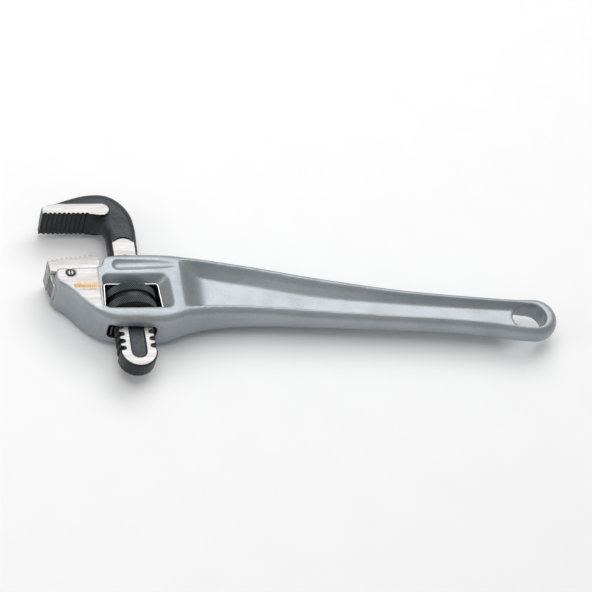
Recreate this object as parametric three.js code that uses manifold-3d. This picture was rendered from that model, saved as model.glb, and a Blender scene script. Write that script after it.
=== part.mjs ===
// Offset pipe wrench, 14 in class. Millimetres.
// Working frame: origin on the hook jaw's screw axis, at the middle of the adjusting nut and of the
// thickness. +X runs to the handle end, +Y to the hook, +Z out of the flat face. The finished group is
// moved so that its origin is the bottom centre of its box.
import * as THREE from 'three';
import { mergeVertices } from 'three/addons/utils/BufferGeometryUtils.js';
import Module from 'manifold-3d';

const wasm = await Module();
wasm.setup();

// ---- driving dimensions --------------------------------------------------------------------------
const HEAD_HALF = 16.4;        // half thickness of the casting at the head
const GROUND_HALF = HEAD_HALF - 0.4;   // half distance between the two ground cheek faces
const HANDLE_END_X = 286;      // centre of the round handle end
const HANDLE_END_Y = -15.6;
const HANDLE_END_R = 15.2;
const HANDLE_START_X = 50;     // the handle stretches between here and its end
const HANDLE_DRAWN = 236;      // length of handle that the stations below are written for
const JAW_HALF = 11.9;         // half thickness of both jaws
const TOOTH_PITCH = 3.175;
const TOOTH_DEPTH = 1.25;
const SCREW_PITCH = 5.6;       // right-hand screw
const SCREW_CREST_R = 13.5;
const SCREW_ROOT_R = SCREW_CREST_R - 2.9;
const SHANK_HALF = 6.5;        // half thickness of the flatted shank
const SHANK_END_Y = -51.8;
const SHANK_END_R = SCREW_CREST_R - 0.8;   // rounded lower end of the shank
const THREAD_TOP_Y = 33;       // the screw runs out here, below the neck
const NECK_ARCH_Y = 52;        // top of the flats ground on the neck
const NUT_R = SCREW_CREST_R + 3.9;
const NUT_HALF = 9.8;
const NUT_THREAD_GAP = 0.45;
const WINDOW_LOW_Y = -NUT_HALF - 1.1;
const WINDOW_HIGH_Y = NUT_HALF + 1.5;
const WINDOW_HALF_LOW = NUT_R + 2.4;    // half width of the window at its lower and upper edge
const WINDOW_HALF_HIGH = NUT_R + 1;
const NECK_HALF = SHANK_HALF + 1.1;     // half thickness of the neck above the ground flats
const THROAT_HALF = NECK_HALF + 0.5;
const TANG_HALF = 7.5;
const CHEEK_SLOT_HALF = TANG_HALF + 0.4;   // slot that takes the heel jaw's tang
const TANG_FLOOR_Y = 11;
const PIN_X = -40.6;
const PIN_Y = 16.9;
const PIN_R = 2.9;
const HOOK_TEETH_Y = 69.4;

// ---- helpers -------------------------------------------------------------------------------------
const clamp = (v, lo, hi) => Math.min(hi, Math.max(lo, v));
const mix = (a, b, t) => a + (b - a) * t;

// Smooth curve through a few [x, value] stations, flat beyond both ends.
function along(stations, x) {
  const n = stations.length;
  if (x <= stations[0][0]) return stations[0][1];
  if (x >= stations[n - 1][0]) return stations[n - 1][1];
  let k = 0;
  while (x > stations[k + 1][0]) k += 1;
  const slope = (i) => {
    const a = stations[Math.max(i - 1, 0)];
    const b = stations[Math.min(i + 1, n - 1)];
    return (b[1] - a[1]) / (b[0] - a[0]);
  };
  const [x0, y0] = stations[k];
  const [x1, y1] = stations[k + 1];
  const d = x1 - x0;
  const t = (x - x0) / d;
  const u = 1 - t;
  return y0 * (1 + 2 * t) * u * u + y1 * (3 - 2 * t) * t * t
    + slope(k) * d * t * u * u - slope(k + 1) * d * u * t * t;
}

// Stations along the handle, moved with its end.
const stretched = (stations) => stations.map(([x, value]) => {
  const out = Math.max(0, x - HANDLE_START_X) * (HANDLE_END_X - HANDLE_START_X) / HANDLE_DRAWN;
  return [Math.min(x, HANDLE_START_X) + out, value];
});

function toSolid(geometry) {
  let g = geometry.clone();
  g.deleteAttribute('normal');
  g.deleteAttribute('uv');
  g = mergeVertices(g, 1e-4);
  const p = g.attributes.position;
  const src = g.index.array;
  const tri = [];
  for (let i = 0; i < src.length; i += 3) {
    const [a, b, c] = [src[i], src[i + 1], src[i + 2]];
    if (a !== b && b !== c && a !== c) tri.push(a, b, c);
  }
  const A = new THREE.Vector3();
  const B = new THREE.Vector3();
  const C = new THREE.Vector3();
  let volume = 0;
  for (let i = 0; i < tri.length; i += 3) {
    A.fromBufferAttribute(p, tri[i]);
    B.fromBufferAttribute(p, tri[i + 1]);
    C.fromBufferAttribute(p, tri[i + 2]);
    volume += A.dot(B.cross(C));
  }
  if (volume < 0) tri.reverse();
  return new wasm.Manifold(new wasm.Mesh({
    numProp: 3,
    vertProperties: new Float32Array(p.array),
    triVerts: new Uint32Array(tri),
  }));
}

function toGeometry(solid) {
  const m = solid.getMesh();
  const g = new THREE.BufferGeometry();
  const xyz = new Float32Array(m.numVert * 3);
  for (let i = 0; i < m.numVert; i += 1) {
    for (let j = 0; j < 3; j += 1) xyz[3 * i + j] = m.vertProperties[i * m.numProp + j];
  }
  g.setAttribute('position', new THREE.BufferAttribute(xyz, 3));
  g.setIndex(new THREE.BufferAttribute(new Uint32Array(m.triVerts), 1));
  const flat = g.toNonIndexed();
  flat.computeVertexNormals();
  return flat;
}

// A closed skin: point(t, i) gives point i of the ring at t (0 to 1); i = -1 is the ring's centre.
function loft(around, steps, point) {
  const g = new THREE.CylinderGeometry(1, 1, 1, around, steps);
  const p = g.attributes.position;
  for (let k = 0; k < p.count; k += 1) {
    const x = p.getX(k);
    const z = p.getZ(k);
    const t = clamp(p.getY(k) + 0.5, 0, 1);
    const turn = Math.atan2(x, z) / (2 * Math.PI);
    const i = Math.hypot(x, z) < 0.5 ? -1 : (Math.round(turn * around) + around) % around;
    const q = point(t, i);
    p.setXYZ(k, q.x, q.y, q.z);
  }
  return toSolid(g);
}

// Point i of a rounded rectangle with 4 * (K + 1) points, radii ru and rv.
const CORNER_STEPS = 5;
const RING = 4 * (CORNER_STEPS + 1);
function roundedPoint(i, halfU, halfV, ru, rv) {
  if (i < 0) return [0, 0];
  const q = Math.floor(i / (CORNER_STEPS + 1));
  const angle = (q + (i % (CORNER_STEPS + 1)) / CORNER_STEPS) * Math.PI / 2;
  const su = q === 0 || q === 3 ? 1 : -1;
  const sv = q < 2 ? 1 : -1;
  return [
    su * (halfU - ru) + ru * Math.cos(angle),
    sv * (halfV - rv) + rv * Math.sin(angle),
  ];
}

// A plate between z0 and z1 from a closed outline of [x, y] points, with an optional edge bevel.
function plate(points, z0, z1, bevel = 0) {
  const shape = new THREE.Shape(points.map(([x, y]) => new THREE.Vector2(x, y)));
  const g = new THREE.ExtrudeGeometry(shape, {
    depth: z1 - z0 - 2 * bevel,
    steps: 1,
    bevelEnabled: bevel > 0,
    bevelThickness: bevel,
    bevelSize: bevel,
    bevelOffset: -bevel,
    bevelSegments: 2,
    curveSegments: 8,
  });
  g.translate(0, 0, z0 + bevel);
  return toSolid(g);
}

function box(x0, x1, y0, y1, z0, z1) {
  const g = new THREE.BoxGeometry(x1 - x0, y1 - y0, z1 - z0);
  g.translate((x0 + x1) / 2, (y0 + y1) / 2, (z0 + z1) / 2);
  return toSolid(g);
}

function rodZ(x, y, r, z0, z1, segments = 24) {
  const g = new THREE.CylinderGeometry(r, r, z1 - z0, segments);
  g.rotateX(Math.PI / 2);
  g.translate(x, y, (z0 + z1) / 2);
  return toSolid(g);
}

// Points on an arc, angles in degrees.
function arc(cx, cy, r, from, to, steps) {
  const out = [];
  for (let k = 0; k <= steps; k += 1) {
    const a = THREE.MathUtils.degToRad(mix(from, to, k / steps));
    out.push([cx + r * Math.cos(a), cy + r * Math.sin(a)]);
  }
  return out;
}

const both = (make) => make(1).add(make(-1));

// ---- the casting: outline and thickness along the handle ----------------------------------------
const TOP_LINE = stretched([
  [-52.5, 19], [-50, 25], [-40, 30], [-24, 32.6], [0, 33.4], [25, 33.2], [51, 31.8], [75, 28.9],
  [95, 25.6], [118, 21], [144, 16.3], [169, 12], [195, 8], [222, 4.9], [248, 2.2], [270, 0],
]);
const LOW_LINE = stretched([
  [-52.5, 15], [-51, 10.5], [-46, 6.5], [-41, 2], [-36, -4.6], [-31, -10.4], [-25, -15.6],
  [-18, -19.3], [-10, -21.1], [4, -21.6], [18, -22.3], [26, -21], [33, -18.4], [41, -16],
  [52, -14.2], [70, -13.2], [90, -13.5], [130, -16.2], [187, -19.9], [225, -22.9], [250, -25.9],
  [270, -29.2],
]);
// How much thinner than the head the handle is.
const THINNER_LINE = stretched([
  [20, 0], [30, 0.5], [40, 1.8], [52, 3.1], [68, 4.5], [90, 5.7], [120, 6.7], [160, 7.5], [200, 7.9],
  [240, 8],
]);

const END_BLEND = 24;          // the edges run into the round end over this length
function endHalf(x) {
  const d = clamp((x - HANDLE_END_X) / HANDLE_END_R, -1, 1);
  return Math.max(0.6, HANDLE_END_R * Math.sqrt(1 - d * d));
}

// Upper and lower edge of the casting at x; they run into the round handle end.
function edges(x) {
  if (x >= HANDLE_END_X) {
    const a = endHalf(x);
    return [HANDLE_END_Y + a, HANDLE_END_Y - a];
  }
  const w = clamp((x - HANDLE_END_X + END_BLEND) / END_BLEND, 0, 1);
  const s = w * w * (3 - 2 * w);
  return [
    mix(along(TOP_LINE, x), HANDLE_END_Y + HANDLE_END_R, s),
    mix(along(LOW_LINE, x), HANDLE_END_Y - HANDLE_END_R, s),
  ];
}

const thickness = (x) => HEAD_HALF - along(THINNER_LINE, x);

const HEAD_X = -52.5;
const END_X = HANDLE_END_X + HANDLE_END_R - 0.02;

function skinX(t) {
  if (t < 0.45) return mix(HEAD_X, 60, t / 0.45);
  if (t < 0.8) return mix(60, HANDLE_END_X, (t - 0.45) / 0.35);
  const a = (t - 0.8) / 0.2 * Math.PI / 2;
  return mix(HANDLE_END_X, END_X, Math.sin(a));
}

const skin = loft(RING, 60, (t, i) => {
  const x = skinX(t);
  const [top, low] = edges(x);
  const half = (top - low) / 2;
  const h = thickness(x);
  const handle = clamp((x - 25) / 70, 0, 1);
  const nose = clamp((x + 45) / 20, 0, 1);
  const ry = mix(3.2, 5.5, nose);
  const rz = Math.min(mix(6.2, 7.6, handle), h * 0.96);
  if (x <= HANDLE_END_X || i < 0) {
    const [u, v] = roundedPoint(i, half, h, Math.min(ry, half * 0.98), rz);
    return new THREE.Vector3(x, (top + low) / 2 + u, v);
  }
  // Round end: the edge radius follows the end circle, so every layer is a smaller circle.
  const d = x - HANDLE_END_X;
  const [u, v] = roundedPoint(i, HANDLE_END_R, h, ry, rz);
  const inset = Math.min(HANDLE_END_R - Math.abs(u), HANDLE_END_R - d);
  const wide = Math.sqrt(Math.max(0, (HANDLE_END_R - inset) ** 2 - d * d));
  const rise = Math.sqrt(Math.max(0, 1 - (1 - inset / ry) ** 2));
  const lift = inset >= ry ? h : h - rz + rz * rise;
  return new THREE.Vector3(x, HANDLE_END_Y + Math.sign(u) * wide, Math.sign(v) * lift);
});

// ---- the casting: pockets of the I-beam handle ---------------------------------------------------
const POCKET_START = 28.5;
const POCKET_END_X = HANDLE_END_X - 3.7;   // round end of the pockets, just outside the hanging hole
const POCKET_END_Y = HANDLE_END_Y - 1;
const POCKET_END_R = HANDLE_END_R - 5.7;
const WEB_LINE = stretched([[50, 3.6], [90, 3.1], [150, 2.6], [250, 2.4]]);
const UPPER_WALL = stretched([
  [30, 8], [60, 13.2], [80, 14.3], [115, 15], [145, 14], [189, 10.8], [240, 9], [270, 8],
]);
const FLANGE_LINE = stretched([
  [30, 8.2], [45, 6.6], [70, 5.9], [110, 5.8], [170, 5], [230, 4.8],
]);

function webHalf(x) {
  const ramp = clamp((x - POCKET_START) / 26, 0, 1);
  const fall = Math.cos(ramp * Math.PI / 2);
  return mix(along(WEB_LINE, x), HEAD_HALF + 0.6, fall * fall * (0.4 + 0.6 * fall));
}

const POCKET_RING = 7;
function pocketRing(x, side) {
  const h = thickness(x);
  const floor = webHalf(x);
  const high = h + 4;
  let [top, low] = edges(x);
  let wall = along(UPPER_WALL, x);
  let flange = along(FLANGE_LINE, x);
  let crease = mix(floor, h, 0.5);
  if (x > POCKET_END_X - 8) {
    const d = clamp((x - POCKET_END_X) / POCKET_END_R, -1, 1);
    const a = x > POCKET_END_X ? Math.max(0.3, POCKET_END_R * Math.sqrt(1 - d * d)) : POCKET_END_R;
    const w = clamp((x - POCKET_END_X + 8) / 8, 0, 1);
    top = mix(top, POCKET_END_Y + a + 5.4, w);
    low = mix(low, POCKET_END_Y - a - 4.8, w);
    wall = mix(wall, 5.4 + 1.2 * a / POCKET_END_R, w);
    flange = mix(flange, 4.8, w);
  }
  const edge = top - 4.6;
  const web = top - wall;
  const fold = mix(edge, web, 0.42);
  const run = (edge - fold) / (h - crease);
  return [
    [low + flange - 0.35, high],
    [low + flange, h],
    [low + flange + 0.8, floor],
    [web, floor],
    [fold, crease],
    [edge, h],
    [edge + run * (high - h), high],
  ].map(([y, z]) => new THREE.Vector3(x, y, side * z));
}

const POCKET_X1 = POCKET_END_X + POCKET_END_R - 0.05;
function pocketX(t) {
  if (t < 0.3) return mix(POCKET_START, POCKET_START + 24, t / 0.3);
  if (t < 0.75) return mix(POCKET_START + 24, POCKET_END_X - 8, (t - 0.3) / 0.45);
  const a = (t - 0.75) / 0.25 * Math.PI / 2;
  return mix(POCKET_END_X - 8, POCKET_X1, Math.sin(a));
}

const pocket = (side) => loft(POCKET_RING, 44, (t, i) => {
  const ring = pocketRing(pocketX(t), side);
  if (i >= 0) return ring[i];
  const c = new THREE.Vector3();
  ring.forEach((p) => c.add(p));
  return c.divideScalar(ring.length);
});

// ---- the casting: window, throat, slots ----------------------------------------------------------
// Rounded trapezoid of the window, grown by the given margins.
function windowRing(i, left, right, up, down, r) {
  const y0 = WINDOW_LOW_Y - down;
  const y1 = WINDOW_HIGH_Y + up;
  const [u, v] = roundedPoint(i, 1, (y1 - y0) / 2, 0, r);
  if (i < 0) return [0, (y0 + y1) / 2];
  const y = (y0 + y1) / 2 + v;
  const half = mix(WINDOW_HALF_LOW, WINDOW_HALF_HIGH, (y - y0) / (y1 - y0));
  const q = Math.floor(i / (CORNER_STEPS + 1));
  const a = (q + (i % (CORNER_STEPS + 1)) / CORNER_STEPS) * Math.PI / 2;
  const inset = r * (1 - Math.abs(Math.cos(a)));
  return [u > 0 ? half + right - inset : -(half + left - inset), y];
}

const windowHole = loft(RING, 1, (t, i) => {
  const [x, y] = windowRing(i, 0, 0, 0, 0, 2.2);
  return new THREE.Vector3(x, y, mix(-30, 30, t));
});

// Sloping recess round the window, from the opening up to the face.
const windowDish = (side) => loft(RING, 2, (t, i) => {
  const k = t < 0.25 ? 0 : (t < 0.75 ? 1 : 1.35);
  const [x, y] = windowRing(i, 1.6 * k, mix(0, 7, k), 4.2 * k, 0.2 * k, 2.2 + 1.8 * k);
  const z = mix(10, HEAD_HALF, k);
  return new THREE.Vector3(x, y, side * z);
});

// Shallow thumb hollow between the window and the top edge, fading out towards the handle.
const HOLLOW_R = 5;
const hollow = (side) => {
  const g = new THREE.CapsuleGeometry(HOLLOW_R, 40, 4, 16);
  g.rotateZ(Math.PI / 2);
  g.rotateY(side * -0.045);
  g.translate(12, 22.9, side * (HEAD_HALF + HOLLOW_R - 1.7));
  return toSolid(g);
};

const THROAT_LEFT_X = -SCREW_CREST_R - 0.8;
const THROAT_RIGHT_X = SCREW_CREST_R + 1.7;
const throat = plate([
  [THROAT_LEFT_X, 5], [THROAT_RIGHT_X, 5], [THROAT_RIGHT_X + 1.2, 40], [THROAT_LEFT_X, 40],
], -THROAT_HALF, THROAT_HALF);
const SLOT_LEFT_X = -SCREW_CREST_R - 4.2;
const SLOT_RIGHT_X = SCREW_CREST_R + 0.9;
const lowSlot = loft(RING, 1, (t, i) => {
  const [u, v] = roundedPoint(i, (SLOT_RIGHT_X - SLOT_LEFT_X) / 2, SHANK_HALF + 0.6, 3, 3);
  return new THREE.Vector3((SLOT_RIGHT_X + SLOT_LEFT_X) / 2 + u, mix(-5, -30, t), v);
});

// Bore in the slot's end for the coil spring.
const COIL_Y = WINDOW_LOW_Y - 3.5;
const COIL_BORE_R = 2.3;
const COIL_BORE_X = SLOT_LEFT_X - 3.5;
const coilBore = (() => {
  const g = new THREE.CylinderGeometry(COIL_BORE_R, COIL_BORE_R, 8, 20);
  g.rotateZ(Math.PI / 2);
  g.translate(COIL_BORE_X + 4, COIL_Y, 0);
  return toSolid(g);
})();

// Seat of the heel jaw: everything above the shoulder line, then up the rounded step of the head.
const jawSeat = plate([
  [-70, 19.8], [-50, 20.2], [-20.4, 21.3], [-19.2, 22.7], [-18.3, 25], [-17.6, 27.4], [-15.6, 29.3],
  [-12.4, 30.6], [-8, 31.9], [-8, 45], [-70, 45],
], -30, 30);
const cheekSlot = plate([
  [-70, TANG_FLOOR_Y], [-27, TANG_FLOOR_Y], [-25.3, 12.2], [-24.6, 14], [-24.6, 40], [-70, 40],
], -CHEEK_SLOT_HALF, CHEEK_SLOT_HALF);

const GROUND_EDGE_X = -WINDOW_HALF_LOW - 2.4;
const groundFaces = both((s) => box(
  -70, GROUND_EDGE_X, -40, 60, s > 0 ? GROUND_HALF : -30, s > 0 ? 30 : -GROUND_HALF,
));
const cheekEnds = both((s) => plate([
  [-70, 30], [-46.5, 30], [-46.5, 20.6], [-48.4, 20.1], [-49.9, 18.6], [-50.6, 16.4], [-50.7, 11.2],
  [-53, 9], [-70, 9],
], s > 0 ? 8.5 : -30, s > 0 ? 30 : -8.5));

// Hanging hole: a big round end inside the pockets' end and a smaller one towards the head.
const HOLE_R = POCKET_END_R - 0.4;
const HOLE_SMALL_R = 7.6;
const HOLE_SMALL_X = POCKET_END_X - 5.1;
const HOLE_SMALL_Y = POCKET_END_Y + 2.3;
const hangingSlot = plate([
  ...arc(POCKET_END_X, POCKET_END_Y, HOLE_R, -108, 78, 20),
  ...arc(HOLE_SMALL_X, HOLE_SMALL_Y, HOLE_SMALL_R, 82, 250, 18),
], -30, 30);

let housing = skin
  .subtract(both(pocket))
  .subtract(windowHole)
  .subtract(both(windowDish))
  .subtract(both(hollow))
  .subtract(jawSeat)
  .subtract(cheekSlot)
  .subtract(throat)
  .subtract(lowSlot)
  .subtract(coilBore)
  .subtract(groundFaces)
  .subtract(cheekEnds)
  .subtract(hangingSlot)
  .subtract(rodZ(PIN_X, PIN_Y, PIN_R + 0.08, -30, 30));

// ---- heel jaw ------------------------------------------------------------------------------------
// Saw teeth along a straight line from a to b, points into the mouth.
function teeth(a, b, count, depth, normal) {
  const out = [];
  for (let k = 0; k < count; k += 1) {
    const s = (k + 0.5) / count;
    const e = (k + 1) / count;
    out.push([mix(a[0], b[0], s) - normal[0] * depth, mix(a[1], b[1], s) - normal[1] * depth]);
    out.push([mix(a[0], b[0], e), mix(a[1], b[1], e)]);
  }
  return out;
}

const HEEL_LEFT = [-54.3, 29.9];
const HEEL_RIGHT = [-25.7, 34.1];
const heelDir = new THREE.Vector2(HEEL_RIGHT[0] - HEEL_LEFT[0], HEEL_RIGHT[1] - HEEL_LEFT[1]);
const heelCount = Math.round(heelDir.length() / TOOTH_PITCH);
const heelNormal = [-heelDir.y / heelDir.length(), heelDir.x / heelDir.length()];
const heelHead = plate([
  HEEL_LEFT,
  ...teeth(HEEL_LEFT, HEEL_RIGHT, heelCount, TOOTH_DEPTH, heelNormal),
  [-21.6, 33.2], [-19.8, 31.6], [-19.3, 28], [-19.9, 25.2], [-21.4, 23.2], [-23.5, 21.6],
  [-50, 20.5], [-53.3, 21.4],
], -JAW_HALF, JAW_HALF);
const heelTang = plate([
  [-53.3, 24], [-52.9, 17], [-51.6, 12], [-50.8, TANG_FLOOR_Y + 0.3], [-27.2, TANG_FLOOR_Y + 0.3],
  [-25.6, 12.4], [-24.9, 14.2], [-24.9, 24],
], -TANG_HALF, TANG_HALF);
const heelJaw = heelHead.add(heelTang).subtract(rodZ(PIN_X, PIN_Y, PIN_R + 0.08, -30, 30));

// ---- heel jaw pin: a plain pin with dished, slotted ends ------------------------------------------
const pinBody = (() => {
  const z = GROUND_HALF + 0.15;
  const half = [
    [0, z - 0.5], [PIN_R - 1.2, z - 0.5], [PIN_R - 0.9, z], [PIN_R - 0.4, z], [PIN_R, z - 0.6],
  ];
  const profile = [...half.map(([r, y]) => [r, -y]), ...half.reverse()]
    .map(([r, y]) => new THREE.Vector2(r, y));
  const g = new THREE.LatheGeometry(profile, 28);
  g.rotateX(Math.PI / 2);
  g.translate(PIN_X, PIN_Y, 0);
  return toSolid(g);
})();
const PIN_SLOT_Z = GROUND_HALF - 1.4;
const pinSlot = (s) => box(
  PIN_X - 0.4, PIN_X + 0.4, PIN_Y - PIN_R + 1, PIN_Y + PIN_R - 1,
  s > 0 ? PIN_SLOT_Z : -30, s > 0 ? 30 : -PIN_SLOT_Z,
);
const pin = pinBody.subtract(both(pinSlot));

// ---- hook jaw ------------------------------------------------------------------------------------
// Centre line and half widths of the forging from the jaw tip, round the bend, down to the neck.
const HOOK_PATH = new THREE.CatmullRomCurve3([
  [-52.6, HOOK_TEETH_Y + 4.2], [-43, HOOK_TEETH_Y + 6.2], [-32, HOOK_TEETH_Y + 8.6],
  [-20, HOOK_TEETH_Y + 10.2], [-9.5, HOOK_TEETH_Y + 8.6], [-2.6, HOOK_TEETH_Y + 1.2],
  [-0.1, HOOK_TEETH_Y - 8.4], [0, 50], [0, 42],
].map(([x, y]) => new THREE.Vector3(x, y, 0)), false, 'centripetal');
const NECK_WIDE = SCREW_ROOT_R - 0.6;   // half width of the neck
const HOOK_OUTER = [
  [0, 3.4], [0.1, 4.6], [0.25, 7], [0.4, 9.2], [0.55, 10.8], [0.68, 10.9], [0.8, 10.3],
  [1, NECK_WIDE],
];
const HOOK_INNER = [
  [0, 3.4], [0.1, 4.6], [0.25, 7], [0.36, 10.4], [0.43, 12.6], [0.52, 13.1], [0.6, 12.5], [0.7, 11.2],
  [0.8, 10.4], [1, NECK_WIDE],
];
const HOOK_THICK = [
  [0, JAW_HALF - 1.5], [0.1, JAW_HALF - 0.7], [0.45, JAW_HALF - 0.1], [0.58, JAW_HALF - 0.3],
  [0.68, JAW_HALF - 1.6], [0.77, NECK_HALF + 0.8], [0.86, NECK_HALF], [1, NECK_HALF],
];

const forging = loft(28, 40, (t, i) => {
  const c = HOOK_PATH.getPointAt(t);
  if (i < 0) return c;
  const d = HOOK_PATH.getTangentAt(t);
  const n = new THREE.Vector3(-d.y, d.x, 0);
  const a = (i / 28) * 2 * Math.PI;
  const outer = Math.cos(a) > 0;
  const power = mix(outer ? 0.85 : 0.5, 0.62, clamp((t - 0.6) / 0.2, 0, 1));
  const wide = along(outer ? HOOK_OUTER : HOOK_INNER, t);
  const cu = Math.sign(Math.cos(a)) * Math.abs(Math.cos(a)) ** power;
  const sv = Math.sign(Math.sin(a)) * Math.abs(Math.sin(a)) ** power;
  return c.addScaledVector(n, cu * wide).setZ(sv * along(HOOK_THICK, t));
}).subtract(box(-70, -19.5, 40, HOOK_TEETH_Y + 1.6, -30, 30));
// The flats ground on both sides of the shank end in an arch on the neck.
const NECK_ARCH_R = 8.4;
const neckFlat = (s) => plate([
  [-20, 0], [20, 0], [20, NECK_ARCH_Y - NECK_ARCH_R - 3],
  ...arc(0, NECK_ARCH_Y - NECK_ARCH_R, NECK_ARCH_R, 0, 180, 14), [-20, NECK_ARCH_Y - NECK_ARCH_R - 3],
], s > 0 ? SHANK_HALF : -30, s > 0 ? 30 : -SHANK_HALF);

const HOOK_TIP_X = -53.6;
const TOOTHED_LENGTH = 32.4;
const hookCount = Math.floor(TOOTHED_LENGTH / TOOTH_PITCH);
const hookTeethEnd = [HOOK_TIP_X + hookCount * TOOTH_PITCH + 0.6, HOOK_TEETH_Y - TOOTH_DEPTH];
const jawBlock = plate([
  [HOOK_TIP_X, HOOK_TEETH_Y - TOOTH_DEPTH],
  ...teeth(
    [HOOK_TIP_X + 0.6, HOOK_TEETH_Y - TOOTH_DEPTH], hookTeethEnd, hookCount, TOOTH_DEPTH, [0, -1],
  ),
  ...[
    [-17.5, -1.6], [-14.4, -2.1], [-11.4, -1.8], [-9.2, -0.6], [-8, 1.2], [-7.6, 3], [-8.2, 5.2],
    [-9.8, 6.7], [-12.4, 7.5], [-44, 7.4], [-52.2, 5.2], [HOOK_TIP_X, 3.6],
  ].map(([x, y]) => [x, HOOK_TEETH_Y + y]),
], -JAW_HALF, JAW_HALF);

// Screw on the two edges of the shank. Rows follow the helix; the flats remove the rest.
const ROWS_PER_PITCH = 4;
const SIDE_STEPS = 4;
const sideHalf = Math.asin((SHANK_HALF + 0.4) / SCREW_ROOT_R) + 0.02;
const crestPhase = -26.8;
function screwRadius(row, grow) {
  const k = ((row % ROWS_PER_PITCH) + ROWS_PER_PITCH) % ROWS_PER_PITCH;
  return (k < 2 ? SCREW_CREST_R : SCREW_ROOT_R) + grow;
}
function screwRowY(row) {
  const turnNo = Math.floor(row / ROWS_PER_PITCH);
  const k = row - turnNo * ROWS_PER_PITCH;
  const phase = [-0.15, 0.15, 0.32, 0.68][k];
  return crestPhase + (turnNo + phase) * SCREW_PITCH;
}
const rowLow = Math.round((SHANK_END_Y + SHANK_END_R - crestPhase) / SCREW_PITCH) * ROWS_PER_PITCH;
const rowHigh = Math.ceil((THREAD_TOP_Y + SCREW_PITCH - crestPhase) / SCREW_PITCH) * ROWS_PER_PITCH + 1;
const threadAround = 2 * (SIDE_STEPS + 1);
const threaded = loft(threadAround, rowHigh - rowLow, (t, i) => {
  const row = rowLow + Math.round(t * (rowHigh - rowLow));
  const y = screwRowY(row);
  if (i < 0) return new THREE.Vector3(0, y, 0);
  const side = i <= SIDE_STEPS ? 0 : 1;
  const j = i - side * (SIDE_STEPS + 1);
  const angle = side * Math.PI + mix(-sideHalf, sideHalf, j / SIDE_STEPS);
  const r = screwRadius(row, 0);
  return new THREE.Vector3(r * Math.cos(angle), y - SCREW_PITCH * angle / (2 * Math.PI), r * Math.sin(angle));
});
const shankForm = plate([
  [-SCREW_CREST_R - 0.1, THREAD_TOP_Y], [-SCREW_CREST_R - 0.1, SHANK_END_Y + SHANK_END_R + 6],
  ...arc(0, SHANK_END_Y + SHANK_END_R, SHANK_END_R, 180, 360, 14),
  [SCREW_CREST_R + 0.1, SHANK_END_Y + SHANK_END_R + 6], [SCREW_CREST_R + 0.1, THREAD_TOP_Y],
], -SHANK_HALF, SHANK_HALF, 0.8);
// Plain round end below the last thread and round neck above the first, both with the same flats.
const endForm = plate([
  [0.7 - SHANK_END_R, SHANK_END_Y + SHANK_END_R + 1],
  ...arc(0, SHANK_END_Y + SHANK_END_R, SHANK_END_R, 184, 356, 14),
  [SHANK_END_R - 0.7, SHANK_END_Y + SHANK_END_R + 1],
], -SHANK_HALF, SHANK_HALF, 1.2);
const neckCore = (() => {
  const g = new THREE.CylinderGeometry(NECK_WIDE, NECK_WIDE, 48, 32);
  g.translate(0, 22, 0);
  return toSolid(g).intersect(box(-NECK_WIDE, NECK_WIDE, 0, 46, -SHANK_HALF, SHANK_HALF));
})();
const sideHollow = (s) => plate([
  [-4.9, 34], ...arc(0.1, SHANK_END_Y + 11.8, 5.1, 180, 360, 10), [5.2, 34], [0, 38],
], s > 0 ? SHANK_HALF - 1 : -30, s > 0 ? 30 : -SHANK_HALF + 1);

const hookJaw = threaded.intersect(shankForm)
  .add(endForm)
  .add(neckCore)
  .add(forging.subtract(both(neckFlat)))
  .add(jawBlock)
  .subtract(both(sideHollow));

// ---- adjusting nut: two knurled bands, a smooth groove between, internal screw -------------------
const KNURL_DEPTH = 0.55;
const nutBlank = (() => {
  const h = NUT_HALF;
  const r = NUT_R;
  const profile = [
    [0, -h], [r - 2.6, -h], [r - 1, -h + 0.8], [r, -h + 2.2], [r, -2.1], [r - 1.7, -1.6], [r - 1.7, 1.6],
    [r, 2.1], [r, h - 2.2], [r - 1, h - 0.8], [r - 2.6, h], [0, h],
  ].map(([a, b]) => new THREE.Vector2(a, b));
  return toSolid(new THREE.LatheGeometry(profile, 48));
})();
// Slanted cuts of one knurled band.
const KNURL_CUTS = 30;
function knurl(band) {
  const y = band * (NUT_HALF + 1.6) / 2;
  const cuts = [];
  for (let k = 0; k < KNURL_CUTS; k += 1) {
    const g = new THREE.BoxGeometry(KNURL_DEPTH * 2, NUT_HALF + 3, 0.9);
    g.rotateX(band * 0.5);
    g.translate(NUT_R + 0.15, y, 0);
    g.rotateY((k / KNURL_CUTS) * 2 * Math.PI);
    cuts.push(toSolid(g));
  }
  const clip = new THREE.CylinderGeometry(NUT_R + 3, NUT_R + 3, NUT_HALF - 2.6, 24);
  clip.translate(0, band * (NUT_HALF + 2.1) / 2, 0);
  return wasm.Manifold.union(cuts).intersect(toSolid(clip));
}

// Female screw: the shank's own profile with a running gap, sampled all round.
const boreTurns = 5;
const boreRows = boreTurns * 10;
const boreAround = 36;
const bore = loft(boreAround, boreRows, (t, i) => {
  const y = mix(-boreTurns / 2, boreTurns / 2, t) * SCREW_PITCH;
  if (i < 0) return new THREE.Vector3(0, y, 0);
  const a = (i / boreAround) * 2 * Math.PI;
  const pos = (y - crestPhase + SCREW_PITCH * a / (2 * Math.PI)) / SCREW_PITCH;
  const f = Math.abs(pos - Math.round(pos));
  const k = clamp((f - 0.2) / 0.2, 0, 1);
  const r = mix(SCREW_CREST_R + NUT_THREAD_GAP, SCREW_ROOT_R + NUT_THREAD_GAP, k);
  return new THREE.Vector3(r * Math.cos(a), y, r * Math.sin(a));
});
const nut = nutBlank.subtract(bore).subtract(knurl(1)).subtract(knurl(-1));

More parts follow.
